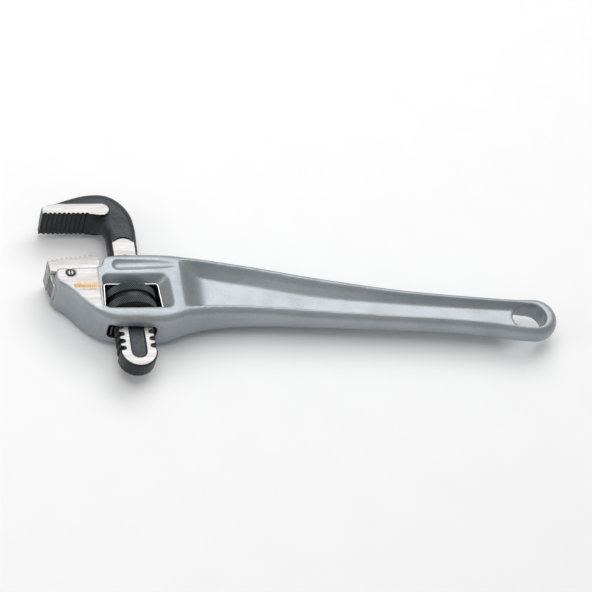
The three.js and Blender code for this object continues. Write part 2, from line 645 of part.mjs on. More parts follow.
// ---- leaf and coil spring behind the shank -------------------------------------------------------
const LEAF_X = -SCREW_CREST_R - 0.6;
const LEAF_T = 0.7;
const LEAF_HALF = 4.8;
const leaf = (() => {
  const face = [[LEAF_X - 0.9, -8.7], [LEAF_X, -7.3], [LEAF_X, -2.7], [LEAF_X - 0.9, -1.3]]
    .map(([x, y]) => [x, WINDOW_LOW_Y + y]);
  const back = face.map(([x, y]) => [x - LEAF_T, y]).reverse();
  return plate([...face, ...back], -LEAF_HALF, LEAF_HALF);
})();

const COIL_TURNS = 3;
const COIL_R = 1.5;
const COIL_WIRE = 0.36;
const COIL_X0 = COIL_BORE_X + 0.6;
const COIL_X1 = LEAF_X - LEAF_T - 0.75;
class Helix extends THREE.Curve {
  getPoint(t, target = new THREE.Vector3()) {
    const a = t * COIL_TURNS * 2 * Math.PI;
    return target.set(mix(COIL_X0, COIL_X1, t), COIL_Y + COIL_R * Math.cos(a), COIL_R * Math.sin(a));
  }
}
const coil = (() => {
  const wire = new THREE.Shape();
  wire.absarc(0, 0, COIL_WIRE, 0, 2 * Math.PI);
  return toSolid(new THREE.ExtrudeGeometry(wire, {
    steps: COIL_TURNS * 16,
    extrudePath: new Helix(),
    curveSegments: 4,
    bevelEnabled: false,
  }));
})();

// ---- label ---------------------------------------------------------------------------------------
const LABEL_RIGHT_X = GROUND_EDGE_X - 0.7;
const label = plate([
  [-15.4, 3.6], [-14.2, 3], [-0.5, 3], [0, 3.5], [0, 8.1], [-0.5, 8.7], [-15.7, 8.7], [-16.5, 8.1],
  [-16.7, 5.4],
].map(([x, y]) => [LABEL_RIGHT_X + x, y]), GROUND_HALF, GROUND_HALF + 0.2);

// ---- assembly ------------------------------------------------------------------------------------
const group = new THREE.Group();
group.name = 'pipe_wrench';
const inner = new THREE.Group();
inner.name = 'screw_frame';

function place(name, solid, color, roughness, metalness) {
  const material = new THREE.MeshStandardMaterial({ color, roughness, metalness });
  const mesh = new THREE.Mesh(toGeometry(solid), material);
  mesh.name = name;
  inner.add(mesh);
}

place('handle_housing', housing, 0xa9aeb3, 0.42, 0.9);
place('heel_jaw', heelJaw, 0xb9b6b2, 0.35, 1);
place('heel_jaw_pin', pin, 0x4a4a4c, 0.4, 1);
place('hook_jaw', hookJaw, 0x242628, 0.5, 0.85);
place('adjusting_nut', nut, 0x1c1d1f, 0.5, 0.85);
place('leaf_spring', leaf, 0x5d6064, 0.35, 1);
place('coil_spring', coil, 0x6a6d70, 0.35, 1);
place('label', label, 0xd88a33, 0.5, 0);

const bounds = new THREE.Box3().setFromObject(inner);
inner.position.set(
  -(bounds.min.x + bounds.max.x) / 2, -(bounds.min.y + bounds.max.y) / 2, -bounds.min.z,
);
group.add(inner);
group.updateMatrixWorld(true);

export default group;
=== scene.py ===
"""Offset pipe wrench: castings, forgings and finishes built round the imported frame. Metres."""

import math

import bmesh
import bpy
from mathutils import Matrix, Vector


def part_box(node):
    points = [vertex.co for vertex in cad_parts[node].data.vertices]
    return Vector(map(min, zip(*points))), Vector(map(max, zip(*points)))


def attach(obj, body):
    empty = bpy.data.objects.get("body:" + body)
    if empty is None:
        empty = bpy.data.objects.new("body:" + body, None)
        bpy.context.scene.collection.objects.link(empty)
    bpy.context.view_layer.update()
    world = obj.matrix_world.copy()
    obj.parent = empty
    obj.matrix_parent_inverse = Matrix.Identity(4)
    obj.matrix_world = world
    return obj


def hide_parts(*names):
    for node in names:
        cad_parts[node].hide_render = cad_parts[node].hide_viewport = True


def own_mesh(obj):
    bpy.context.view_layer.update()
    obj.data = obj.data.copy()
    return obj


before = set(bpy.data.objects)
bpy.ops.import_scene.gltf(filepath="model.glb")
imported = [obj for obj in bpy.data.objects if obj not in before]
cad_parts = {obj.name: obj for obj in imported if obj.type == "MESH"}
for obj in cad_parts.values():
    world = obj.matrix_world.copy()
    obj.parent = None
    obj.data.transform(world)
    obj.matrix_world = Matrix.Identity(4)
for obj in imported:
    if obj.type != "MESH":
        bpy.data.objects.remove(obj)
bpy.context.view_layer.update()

MM = 0.001

# The nut is centred on the screw axis, the middle of the thickness and the middle of its window.
nut_low, nut_high = (Vector(c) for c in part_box("adjusting_nut"))
CENTRE = (nut_low + nut_high) / 2
NUT_R = (nut_high.x - nut_low.x) / 2
NUT_HALF = (nut_high.y - nut_low.y) / 2
pin_low, pin_high = (Vector(c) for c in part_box("heel_jaw_pin"))
PIN = (pin_low + pin_high) / 2
PIN_R = (pin_high.x - pin_low.x) / 2
GROUND = pin_high.z - CENTRE.z - 0.15 * MM     # cheek face above the middle of the thickness
JAW_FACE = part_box("hook_jaw")[1][2] - CENTRE.z  # side face of the jaws
SHANK_FACE = 6.5 * MM                           # flat of the hook jaw's shank
GROUND_EDGE = -22.2                             # the cheeks are ground left of this x, millimetres
NECK_ARCH = 52.5                                # the shank's bright flats end below this y
CAST_VOXEL = 0.62 * MM                          # mesh size of the casting
FORGED_VOXEL = 0.45 * MM                        # mesh size of the hook jaw
FACE_SOFT = 0.06 * MM                           # softness of a mask's edge


def at(x, y, z=0.0):
    """A point given in millimetres from the middle of the nut."""
    return CENTRE + Vector((x, y, z)) * MM


# ---- camera, floor and light -------------------------------------------------------------------
LENS = 135.9               # focal length, millimetres on a 36 mm sensor
CAMERA_AT = (-304.3, -831.5, 1206.5)
CAMERA_RIGHT = (0.9613, -0.1641, 0.2211)
CAMERA_FORWARD = (0.2752, 0.5488, -0.7894)


def make_camera():
    data = bpy.data.cameras.new("camera")
    data.sensor_width = 36.0
    data.lens = LENS
    cam = bpy.data.objects.new("camera", data)
    bpy.context.scene.collection.objects.link(cam)
    right = Vector(CAMERA_RIGHT).normalized()
    back = -Vector(CAMERA_FORWARD).normalized()
    up = back.cross(right).normalized()
    right = up.cross(back)
    turn = Matrix((right, up, back)).transposed().to_4x4()
    cam.matrix_world = Matrix.Translation(at(*CAMERA_AT)) @ turn
    bpy.context.scene.camera = cam


def area_light(name, position, target, size, power):
    data = bpy.data.lights.new(name, "AREA")
    data.shape = "RECTANGLE"
    data.size, data.size_y = size
    data.energy = power
    lamp = bpy.data.objects.new(name, data)
    bpy.context.scene.collection.objects.link(lamp)
    lamp.location = position
    lamp.rotation_euler = (target - position).to_track_quat("-Z", "Y").to_euler()


def make_world(strength):
    world = bpy.data.worlds.new("studio")
    bpy.context.scene.world = world
    world.use_nodes = True
    background = world.node_tree.nodes["Background"]
    background.inputs["Color"].default_value = (1, 1, 1, 1)
    background.inputs["Strength"].default_value = strength


# ---- node helpers ------------------------------------------------------------------------------
class Tree:
    """Short calls for adding and linking nodes."""

    def __init__(self, tree):
        self.tree = tree

    def add(self, kind, settings=None):
        node = self.tree.nodes.new(kind)
        for key, value in (settings or {}).items():
            setattr(node, key, value)
        return node

    def put(self, node, key, value):
        socket = node.inputs[int(key)] if key.isdigit() else node.inputs[key]
        if isinstance(value, bpy.types.NodeSocket):
            self.tree.links.new(value, socket)
        else:
            socket.default_value = value

    def maths(self, operation, a, b=0.0):
        node = self.tree.nodes.new("ShaderNodeMath")
        node.operation = operation
        self.put(node, "0", a)
        self.put(node, "1", b)
        return node.outputs[0]

    def ramp(self, value, low, high, start=0.0, end=1.0):
        node = self.add("ShaderNodeMapRange", {"interpolation_type": "SMOOTHSTEP"})
        for key, item in (("Value", value), ("From Min", low), ("From Max", high),
                          ("To Min", start), ("To Max", end)):
            self.put(node, key, item)
        return node.outputs[0]

    def noise(self, vector, scale, detail=2.0, rough=0.5):
        node = self.add("ShaderNodeTexNoise")
        for key, item in (("Vector", vector), ("Scale", scale), ("Detail", detail),
                          ("Roughness", rough)):
            self.put(node, key, item)
        return node.outputs["Fac"]

    def mix(self, factor, a, b):
        node = self.add("ShaderNodeMix", {"data_type": "RGBA"})
        self.put(node, "0", factor)
        self.put(node, "6", a)
        self.put(node, "7", b)
        return node.outputs[2]

    def blend(self, factor, a, b):
        node = self.add("ShaderNodeMix", {"data_type": "FLOAT"})
        self.put(node, "0", factor)
        self.put(node, "2", a)
        self.put(node, "3", b)
        return node.outputs[0]

    def stretch(self, vector, scale):
        node = self.add("ShaderNodeMapping")
        self.put(node, "Vector", vector)
        self.put(node, "Scale", scale)
        return node.outputs[0]

    def group(self, group, **inputs):
        node = self.tree.nodes.new("ShaderNodeGroup")
        node.node_tree = group
        for key, value in inputs.items():
            self.put(node, key, value)
        return node.outputs


def new_group(name, inputs, outputs):
    group = bpy.data.node_groups.new(name, "ShaderNodeTree")
    for label, kind, value in inputs:
        socket = group.interface.new_socket(label, in_out="INPUT", socket_type="NodeSocket" + kind)
        if value is not None:
            socket.default_value = value
    for label, kind in outputs:
        group.interface.new_socket(label, in_out="OUTPUT", socket_type="NodeSocket" + kind)
    tree = Tree(group)
    entry = group.nodes.new("NodeGroupInput").outputs
    leave = group.nodes.new("NodeGroupOutput")
    return group, tree, entry, leave


def make_blasted():
    """Fine blasted grain on broad soft unevenness."""
    group, t, entry, leave = new_group(
        "blasted_skin",
        [("Vector", "Vector", None), ("Grain", "Float", 1500.0), ("Cloud", "Float", 45.0)],
        [("Speckle", "Float"), ("Cloud", "Float"), ("Height", "Float")])
    fine = t.noise(entry["Vector"], entry["Grain"], 3.0, 0.6)
    medium = t.noise(entry["Vector"], t.maths("MULTIPLY", entry["Grain"], 0.3), 2.0, 0.5)
    broad = t.noise(entry["Vector"], entry["Cloud"], 3.0, 0.55)
    t.put(leave, "Speckle", t.ramp(fine, 0.3, 0.7))
    t.put(leave, "Cloud", t.ramp(broad, 0.3, 0.7))
    t.put(leave, "Height", t.maths("ADD", fine, t.maths("MULTIPLY", medium, 0.8)))
    return group


def make_edge_wear_and_painted_light():
    """Brightened convex edges, partly worn bare metal and partly a painted highlight, broken up by
    noise; painted shade darkening concave corners.
    """
    group, t, entry, leave = new_group(
        "edge_wear_and_painted_light",
        [("Vector", "Vector", None), ("Start", "Float", 0.52), ("Full", "Float", 0.6)],
        [("Edge", "Float"), ("Corner", "Float")])
    point = group.nodes.new("ShaderNodeNewGeometry").outputs["Pointiness"]
    patch = t.noise(entry["Vector"], 300.0, 4.0, 0.6)
    # Convex edges brightened: partly worn bare metal, partly a painted highlight.
    edge = t.ramp(point, entry["Start"], entry["Full"])
    t.put(leave, "Edge", t.maths("MULTIPLY", edge, t.ramp(patch, 0.3, 0.62)))
    # Painted shade: concave corners darkened.
    t.put(leave, "Corner", t.ramp(point, 0.49, 0.42))
    return group


def make_grinding():
    """Close parallel marks of a grinding wheel, along the given direction."""
    group, t, entry, leave = new_group(
        "grinding_marks",
        [("Vector", "Vector", None), ("Turn", "Vector", None), ("Pitch", "Float", 2400.0)],
        [("Shade", "Float"), ("Height", "Float")])
    turned = group.nodes.new("ShaderNodeMapping")
    t.put(turned, "Vector", entry["Vector"])
    t.put(turned, "Rotation", entry["Turn"])
    turned.inputs["Scale"].default_value = (0.04, 1.0, 1.0)
    lines = t.noise(turned.outputs[0], entry["Pitch"], 3.0, 0.6)
    bands = t.noise(turned.outputs[0], t.maths("MULTIPLY", entry["Pitch"], 0.2), 2.0, 0.5)
    t.put(leave, "Shade", t.blend(0.4, t.ramp(lines, 0.25, 0.75), t.ramp(bands, 0.3, 0.7)))
    t.put(leave, "Height", lines)
    return group


def make_face_mask():
    """One where a point lies between two heights off the middle of the thickness."""
    group, t, entry, leave = new_group(
        "face_mask",
        [("Vector", "Vector", None), ("Middle", "Float", 0.0), ("Above", "Float", 0.0),
         ("Below", "Float", 1.0)],
        [("Mask", "Float"), ("X", "Float"), ("Y", "Float")])
    parts = group.nodes.new("ShaderNodeSeparateXYZ")
    t.put(parts, "Vector", entry["Vector"])
    off = t.maths("ABSOLUTE", t.maths("SUBTRACT", parts.outputs["Z"], entry["Middle"]))
    over = t.ramp(off, t.maths("SUBTRACT", entry["Above"], 0.02 * MM), entry["Above"])
    under = t.ramp(off, entry["Below"], t.maths("ADD", entry["Below"], 0.02 * MM), 1.0, 0.0)
    t.put(leave, "Mask", t.maths("MULTIPLY", over, under))
    t.put(leave, "X", parts.outputs["X"])
    t.put(leave, "Y", parts.outputs["Y"])
    return group


BLASTED = make_blasted()
WEAR_AND_PAINTED_LIGHT = make_edge_wear_and_painted_light()
GRINDING = make_grinding()
FACE_MASK = make_face_mask()


def new_material(name):
    material = bpy.data.materials.new(name)
    material.use_nodes = True
    tree = Tree(material.node_tree)
    shader = material.node_tree.nodes["Principled BSDF"]
    place = material.node_tree.nodes.new("ShaderNodeTexCoord").outputs["Object"]
    return material, tree, shader, place


def bump(t, height, distance, strength):
    node = t.add("ShaderNodeBump")
    t.put(node, "Height", height)
    node.inputs["Distance"].default_value = distance
    node.inputs["Strength"].default_value = strength
    return node.outputs[0]


def step_side(t, value, edge_mm, axis, rising=True):
    """One on one side of a plane given in millimetres from the nut's middle."""
    edge = CENTRE[axis] + edge_mm * MM
    start, end = (0.0, 1.0) if rising else (1.0, 0.0)
    return t.ramp(value, edge - FACE_SOFT, edge + FACE_SOFT, start, end)


def multiply(t, first, *rest):
    for item in rest:
        first = t.maths("MULTIPLY", first, item)
    return first


def box_mask(t, place, across, along, half):
    """One inside a box given in millimetres from the nut's middle."""
    face = t.group(FACE_MASK, Vector=place, Middle=CENTRE.z, Above=-1.0, Below=half * MM)
    return multiply(
        t, face["Mask"],
        step_side(t, face["X"], across[0], 0), step_side(t, face["X"], across[1], 0, False),
        step_side(t, face["Y"], along[0], 1), step_side(t, face["Y"], along[1], 1, False))


def facing(t, axis, low, high, start=0.0, end=1.0):
    """How squarely a surface faces along an axis, either way, stretched from start to end."""
    normal = t.add("ShaderNodeNewGeometry").outputs["Normal"]
    parts = t.add("ShaderNodeSeparateXYZ")
    t.put(parts, "Vector", normal)
    return t.ramp(t.maths("ABSOLUTE", parts.outputs[axis]), low, high, start, end)


def walls_only(t):
    """One on surfaces that don't face along Y."""
    return facing(t, "Y", 0.6, 0.75, 1.0, 0.0)


def ground_look(t, place, turn):
    """Colour, roughness and height of a ground steel face."""
    marks = t.group(GRINDING, Vector=place, Turn=turn)
    stain = t.noise(place, 160.0, 4.0, 0.6)
    colour = t.mix(marks["Shade"], (0.37, 0.36, 0.35, 1), (0.57, 0.56, 0.55, 1))
    colour = t.mix(t.ramp(stain, 0.56, 0.75, 0.0, 0.3), colour, (0.33, 0.315, 0.30, 1))
    rough = t.blend(marks["Shade"], 0.44, 0.34)
    return colour, rough, marks["Height"]


def cast_material():
    """Satin aluminium casting with ground cheeks, and painted shade darkening the inside of the
    window, throat and slot to near black.
    """
    material, t, shader, place = new_material("satin_cast_aluminium")
    skin = t.group(BLASTED, Vector=place)
    wear_and_painted_light = t.group(WEAR_AND_PAINTED_LIGHT, Vector=place)
    colour = t.mix(skin["Cloud"], (0.275, 0.305, 0.33, 1), (0.335, 0.365, 0.39, 1))
    colour = t.mix(t.maths("MULTIPLY", skin["Speckle"], 0.35), colour, (0.55, 0.575, 0.595, 1))
    # Painted shade darkens the concave corners.
    colour = t.mix(t.maths("MULTIPLY", wear_and_painted_light["Corner"], 0.35), colour, (0.22, 0.235, 0.25, 1))
    # Convex edges lightened: partly worn bare metal, partly a painted highlight.
    colour = t.mix(t.maths("MULTIPLY", wear_and_painted_light["Edge"], 0.5), colour, (0.80, 0.80, 0.79, 1))
    rough = t.blend(skin["Cloud"], 0.42, 0.38)
    ground_c, ground_r, ground_h = ground_look(t, place, (0.0, 0.0, 0.12))
    face = t.group(FACE_MASK, Vector=place, Middle=CENTRE.z, Above=GROUND - 0.06 * MM, Below=1.0)
    ground = multiply(t, face["Mask"], step_side(t, face["X"], GROUND_EDGE, 0, False))
    sideways = walls_only(t)
    # Painted shade: the inside walls of the window, the throat and the slot go near black.
    window = box_mask(t, place, (-21.4, 20.6), (-11.3, 11.9), 9.7)
    throat = multiply(t, box_mask(t, place, (-15.0, 17.2), (11.0, 34.0), 8.4), sideways)
    slot = multiply(t, box_mask(t, place, (-18.4, 15.1), (-23.5, -10.0), 7.5), sideways)
    inside = t.maths("MAXIMUM", window, t.maths("MAXIMUM", throat, slot))
    colour = t.mix(ground, colour, ground_c)
    colour = t.mix(t.maths("MULTIPLY", inside, 0.93), colour, (0.012, 0.013, 0.014, 1))
    rough = t.blend(ground, rough, ground_r)
    t.put(shader, "Base Color", colour)
    t.put(shader, "Roughness", rough)
    shader.inputs["Metallic"].default_value = 0.55
    height = t.blend(ground, skin["Height"], ground_h)
    t.put(shader, "Normal", bump(t, height, 0.05 * MM, 0.6))
    return material


def black_material(name, tone, sheen, grain, ground_masks=None, turn=(0.0, 0.0, 0.0), worn_tips_and_painted_highlight=None):
    """Blackened steel; ground_masks(t, place) gives where it is ground bright."""
    material, t, shader, place = new_material(name)
    skin = t.group(BLASTED, Vector=place, Grain=grain, Cloud=90.0)
    wear_and_painted_light = t.group(WEAR_AND_PAINTED_LIGHT, Vector=place, Start=0.53, Full=0.62)
    dark = tuple(0.62 * c for c in tone)
    colour = t.mix(skin["Cloud"], (*dark, 1), (*tone, 1))
    colour = t.mix(t.maths("MULTIPLY", skin["Speckle"], 0.4), colour, (0.085, 0.10, 0.096, 1))
    # Convex edges lightened: partly worn bare metal, partly a painted highlight.
    colour = t.mix(t.maths("MULTIPLY", wear_and_painted_light["Edge"], 0.45), colour, (0.22, 0.225, 0.23, 1))
    # Knurl tips lightened: partly worn bare steel, partly a painted highlight.
    if worn_tips_and_painted_highlight:
        colour = t.mix(worn_tips_and_painted_highlight(t, place), colour, (0.36, 0.40, 0.40, 1))
    # Painted shade: faces that look along Y are darkened towards black.
    painted_shade_y_faces = facing(t, "Y", 0.45, 0.85, 0.0, 0.65)
    colour = t.mix(painted_shade_y_faces, colour, (0.008, 0.0085, 0.009, 1))
    rough = t.blend(skin["Speckle"], sheen + 0.1, sheen - 0.04)
    height = skin["Height"]
    if ground_masks:
        ground_c, ground_r, ground_h = ground_look(t, place, turn)
        ground = ground_masks(t, place)
        colour = t.mix(ground, colour, ground_c)
        rough = t.blend(ground, rough, ground_r)
        height = t.blend(ground, height, ground_h)
    t.put(shader, "Base Color", colour)
    t.put(shader, "Roughness", rough)
    shader.inputs["Metallic"].default_value = 0.55
    t.put(shader, "Normal", bump(t, height, 0.07 * MM, 0.7))
    return material


def tips(t, place, axis, low, high):
    """Nought in the knurl's grooves and one at its tips, by the distance from the nut's axis."""
    parts = t.add("ShaderNodeSeparateXYZ")
    t.put(parts, "Vector", place)
    dx = t.maths("SUBTRACT", parts.outputs["X"], axis.x)
    dz = t.maths("SUBTRACT", parts.outputs["Z"], axis.z)
    away = t.maths("SQRT", t.maths("ADD", t.maths("MULTIPLY", dx, dx), t.maths("MULTIPLY", dz, dz)))
    return t.ramp(away, low, high)


def hook_ground(t, place):
    """The jaw's two side faces and the flats of the shank."""
    jaw = t.group(FACE_MASK, Vector=place, Middle=CENTRE.z, Above=JAW_FACE - 0.05 * MM, Below=1.0)
    flat = t.group(
        FACE_MASK, Vector=place, Middle=CENTRE.z, Above=SHANK_FACE - 0.07 * MM,
        Below=SHANK_FACE + 0.1 * MM)
    shank = multiply(
        t, flat["Mask"], step_side(t, flat["Y"], NECK_ARCH, 1, False), facing(t, "Z", 0.9, 0.96))
    return t.maths("MAXIMUM", jaw["Mask"], shank)


def steel_material(name, turn):
    """Ground bare steel, left rough and darker on the faces that look along X."""
    material, t, shader, place = new_material(name)
    colour, rough, height = ground_look(t, place, turn)
    wear_and_painted_light = t.group(WEAR_AND_PAINTED_LIGHT, Vector=place, Start=0.53, Full=0.6)
    streaks = t.noise(t.stretch(place, (0.2, 0.25, 1.0)), 900.0, 3.0, 0.6)
    end = t.mix(t.ramp(streaks, 0.42, 0.6), (0.03, 0.03, 0.031, 1), (0.15, 0.15, 0.15, 1))
    colour = t.mix(facing(t, "X", 0.6, 0.85), colour, end)
    # Painted shade darkens the concave corners.
    colour = t.mix(t.maths("MULTIPLY", wear_and_painted_light["Corner"], 0.6), colour, (0.10, 0.098, 0.095, 1))
    # Convex edges lightened: partly worn bare metal, partly a painted highlight.
    colour = t.mix(t.maths("MULTIPLY", wear_and_painted_light["Edge"], 0.6), colour, (0.88, 0.87, 0.85, 1))
    t.put(shader, "Base Color", colour)
    t.put(shader, "Roughness", rough)
    shader.inputs["Metallic"].default_value = 0.6
    t.put(shader, "Normal", bump(t, height, 0.03 * MM, 0.5))
    return material


def label_material():
    """Printed film, orange fading to tan, with plain bars."""
    material, t, shader, place = new_material("printed_film")
    parts = t.add("ShaderNodeSeparateXYZ")
    t.put(parts, "Vector", place)
    low, high = (Vector(c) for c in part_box("label"))
    along = t.ramp(parts.outputs["X"], low.x, high.x)
    across = t.ramp(parts.outputs["Y"], low.y, high.y)
    colour = t.mix(along, (0.66, 0.37, 0.13, 1), (0.72, 0.44, 0.18, 1))
    grain = t.noise(place, 900.0, 3.0, 0.6)
    worn = t.noise(place, 420.0, 3.0, 0.7)
    colour = t.mix(t.ramp(grain, 0.35, 0.7, 0.0, 0.4), colour, (0.82, 0.62, 0.38, 1))
    border = t.ramp(t.maths("ABSOLUTE", t.maths("SUBTRACT", across, 0.5)), 0.26, 0.46)
    colour = t.mix(multiply(t, border, t.ramp(worn, 0.35, 0.55)), colour, (0.80, 0.74, 0.66, 1))
    middle = t.ramp(t.maths("ABSOLUTE", t.maths("SUBTRACT", across, 0.42)), 0.16, 0.22, 1.0, 0.0)
    bars = t.maths("SINE", t.maths("MULTIPLY", parts.outputs["X"], 4200.0))
    inked = multiply(t, middle, t.ramp(bars, -0.2, 0.5), t.ramp(along, 0.05, 0.12),
                     t.ramp(along, 0.9, 0.96, 1.0, 0.0))
    inked = multiply(t, inked, t.ramp(worn, 0.38, 0.5))
    colour = t.mix(t.maths("MULTIPLY", inked, 0.6), colour, (0.26, 0.13, 0.05, 1))
    t.put(shader, "Base Color", colour)
    shader.inputs["Roughness"].default_value = 0.42
    shader.inputs["Coat Weight"].default_value = 0.3
    t.put(shader, "Normal", bump(t, grain, 0.02 * MM, 0.4))
    return material


def floor_material():
    material, t, shader, place = new_material("pale_floor")
    grain = t.noise(place, 30.0, 2.0, 0.5)
    t.put(shader, "Base Color", t.mix(grain, (0.90, 0.90, 0.90, 1), (0.93, 0.93, 0.93, 1)))
    shader.inputs["Roughness"].default_value = 0.9
    shader.inputs["Specular IOR Level"].default_value = 0.1
    return material


# ---- mesh helpers ------------------------------------------------------------------------------
def finished(bm, name, material, smooth_angle=40.0):
    mesh = bpy.data.meshes.new(name)
    bm.to_mesh(mesh)
    bm.free()
    piece = bpy.data.objects.new(name, mesh)
    bpy.context.scene.collection.objects.link(piece)
    mesh.materials.append(material)
    mesh.polygons.foreach_set("use_smooth", [True] * len(mesh.polygons))
    mesh.set_sharp_from_angle(angle=math.radians(smooth_angle))
    return piece


def merged_copy(node):
    bm = bmesh.new()
    bm.from_mesh(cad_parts[node].data)
    bmesh.ops.remove_doubles(bm, verts=bm.verts, dist=0.002 * MM)
    return bm


def even_skin(node, voxel):
    """A merged copy of a node with an even mesh, so that it can be smoothed like a casting."""
    bm = merged_copy(node)
    mesh = bpy.data.meshes.new("skin")
    bm.to_mesh(mesh)
    bm.free()
    holder = bpy.data.objects.new("skin", mesh)
    bpy.context.scene.collection.objects.link(holder)
    remesh = holder.modifiers.new("even", "REMESH")
    remesh.mode = "VOXEL"
    remesh.voxel_size = voxel
    depsgraph = bpy.context.evaluated_depsgraph_get()
    result = bpy.data.meshes.new_from_object(holder.evaluated_get(depsgraph))
    bm = bmesh.new()
    bm.from_mesh(result)
    bpy.data.objects.remove(holder)
    bpy.data.meshes.remove(mesh)
    bpy.data.meshes.remove(result)
    return bm


def soften(bm, times, chosen=None):
    verts = [v for v in bm.verts if chosen is None or chosen((v.co - CENTRE) / MM)]
    for _ in range(times):
        bmesh.ops.smooth_vert(
            bm, verts=verts, factor=0.5, use_axis_x=True, use_axis_y=True, use_axis_z=True)


# ---- pieces ------------------------------------------------------------------------------------
def make_casting():
    bm = even_skin("handle_housing", CAST_VOXEL)
    soften(bm, 2)

    def cast_skin(p):
        thick = abs(p.z)
        if p.x < -21 and thick > 14.6:
            return p.y < -14
        if p.x < -18:
            return p.y < 6 and thick > 9.5
        if p.x < 44 and p.y > 16 and thick > 14:
            return p.y > 30
        if p.x < 22:
            return thick > 10.6 and p.y < 31.5 or p.y < -12.5 and not (
                p.x < 17 and thick < 9)
        return True

    soften(bm, 8, cast_skin)

    def thick_skin(p):
        return -18 < p.x < 60 and abs(p.z) > 10.6 and p.y < 14

    soften(bm, 8, thick_skin)
    piece = finished(bm, "casting", cast_material(), 60.0)
    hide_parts("handle_housing")
    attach(piece, "housing")


def make_hook():
    bm = even_skin("hook_jaw", FORGED_VOXEL)
    soften(bm, 1)

    def forged_skin(p):
        if p.y < 44 or abs(p.z) > 11.3 and p.y > 66:
            return False
        if p.y < 56 and abs(p.z) < 7.9:
            return False
        return p.x > -18.5 or p.y > 76

    soften(bm, 14, forged_skin)
    piece = finished(bm, "hook", black_material(
        "forged_black_steel", (0.036, 0.041, 0.048), 0.42, 1300.0, hook_ground), 50.0)
    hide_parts("hook_jaw")
    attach(piece, "hook")


WINDOW = ((-19.8, -10.9), (19.8, -10.9), (18.4, 11.3), (-18.4, 11.3))   # corners, millimetres
DISH_FLOOR = 10.35         # where the recess round the window meets it, above the middle
RIM_WIDTH = 0.5 * MM
RIM_HEIGHT = 0.9 * MM


def make_window_rims():
    """The narrow machined edge round the window on both faces."""
    material, t, shader, place = new_material("machined_rim")
    grain = t.noise(place, 1600.0, 3.0, 0.6)
    t.put(shader, "Base Color", t.mix(grain, (0.66, 0.66, 0.64, 1), (0.86, 0.85, 0.83, 1)))
    t.put(shader, "Roughness", t.blend(grain, 0.24, 0.36))
    shader.inputs["Metallic"].default_value = 0.6
    t.put(shader, "Normal", bump(t, grain, 0.02 * MM, 0.4))
    bm = bmesh.new()
    for side in (1, -1):
        corners = [bm.verts.new(at(x, y, side * DISH_FLOOR)) for x, y in WINDOW]
        face = bm.faces.new(corners if side > 0 else corners[::-1])
        bmesh.ops.bevel(
            bm, geom=corners, offset=1.9 * MM, offset_type="OFFSET", segments=5, profile=0.5,
            affect="VERTICES", material=-1)
        face = max((f for f in bm.faces if side * (f.calc_center_median().z - CENTRE.z) > 0),
                   key=lambda f: f.calc_area())
        bmesh.ops.inset_region(bm, faces=[face], thickness=RIM_WIDTH, use_boundary=True)
        bmesh.ops.delete(bm, geom=[face], context="FACES_ONLY")
    bmesh.ops.recalc_face_normals(bm, faces=bm.faces)
    bmesh.ops.solidify(bm, geom=bm.faces[:], thickness=RIM_HEIGHT)
    bmesh.ops.recalc_face_normals(bm, faces=bm.faces)
    piece = finished(bm, "window_rims", material, 35.0)
    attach(piece, "housing")


KNURL_ROWS = 6             # rows of mesh in one knurled band, two to a diamond
KNURL_COLUMNS = 144        # columns round the nut, two to a diamond
KNURL_HEIGHT = 0.55 * MM
BORE_R = 13.95 * MM        # clear of the screw's crests


def make_nut():
    """Two diamond-knurled bands with a smooth groove between them."""
    r = NUT_R - KNURL_HEIGHT
    h = NUT_HALF
    band = (2.25 * MM, h - 2.0 * MM)
    rows = [band[0] + (band[1] - band[0]) * k / KNURL_ROWS for k in range(KNURL_ROWS + 1)]
    half = [(r - 1.25 * MM, 0.0), (r - 1.25 * MM, 1.35 * MM), (r - 0.85 * MM, 1.75 * MM)]
    half += [(r, y) for y in rows]
    half += [(r - 0.5 * MM, h - 1.35 * MM), (r - 1.2 * MM, h - 0.7 * MM),
             (r - 2.2 * MM, h - 0.2 * MM), (r - 2.6 * MM, h), (BORE_R + 0.5 * MM, h),
             (BORE_R, h - 0.5 * MM), (BORE_R, 0.0)]
    profile = half + [(x, -y) for x, y in reversed(half[1:-1])]
    bm = bmesh.new()
    ring = [bm.verts.new((CENTRE.x + x, CENTRE.y + y, CENTRE.z)) for x, y in profile]
    edges = [bm.edges.new((a, b)) for a, b in zip(ring, ring[1:] + ring[:1])]
    bmesh.ops.spin(
        bm, geom=ring + edges, cent=CENTRE, axis=(0, 1, 0), angle=2 * math.pi,
        steps=KNURL_COLUMNS, use_merge=True, use_duplicate=False)
    bmesh.ops.remove_doubles(bm, verts=bm.verts, dist=0.001 * MM)
    low_points = []
    for v in bm.verts:
        d = v.co - CENTRE
        away = math.hypot(d.x, d.z)
        row = (abs(d.y) - band[0]) / (band[1] - band[0]) * KNURL_ROWS
        if abs(away - r) > 0.05 * MM or row < -0.01 or row > KNURL_ROWS + 0.01:
            continue
        column = round(math.atan2(d.z, d.x) / (2 * math.pi) * KNURL_COLUMNS)
        if (column + round(row)) % 2:
            grow = (away + KNURL_HEIGHT) / away
            v.co = CENTRE + Vector((d.x * grow, d.y, d.z * grow))
        else:
            low_points.append(v)
    bmesh.ops.connect_verts(bm, verts=low_points)
    bmesh.ops.recalc_face_normals(bm, faces=bm.faces)
    # The nut's knurl tips are lightened: partly worn bare steel, partly a painted highlight.
    piece = finished(bm, "nut", black_material(
        "knurled_black_steel", (0.016, 0.018, 0.020), 0.34, 2200.0,
        worn_tips_and_painted_highlight=lambda t, place: tips(t, place, CENTRE, NUT_R - 0.4 * MM, NUT_R)), 24.0)
    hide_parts("adjusting_nut")
    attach(piece, "nut")


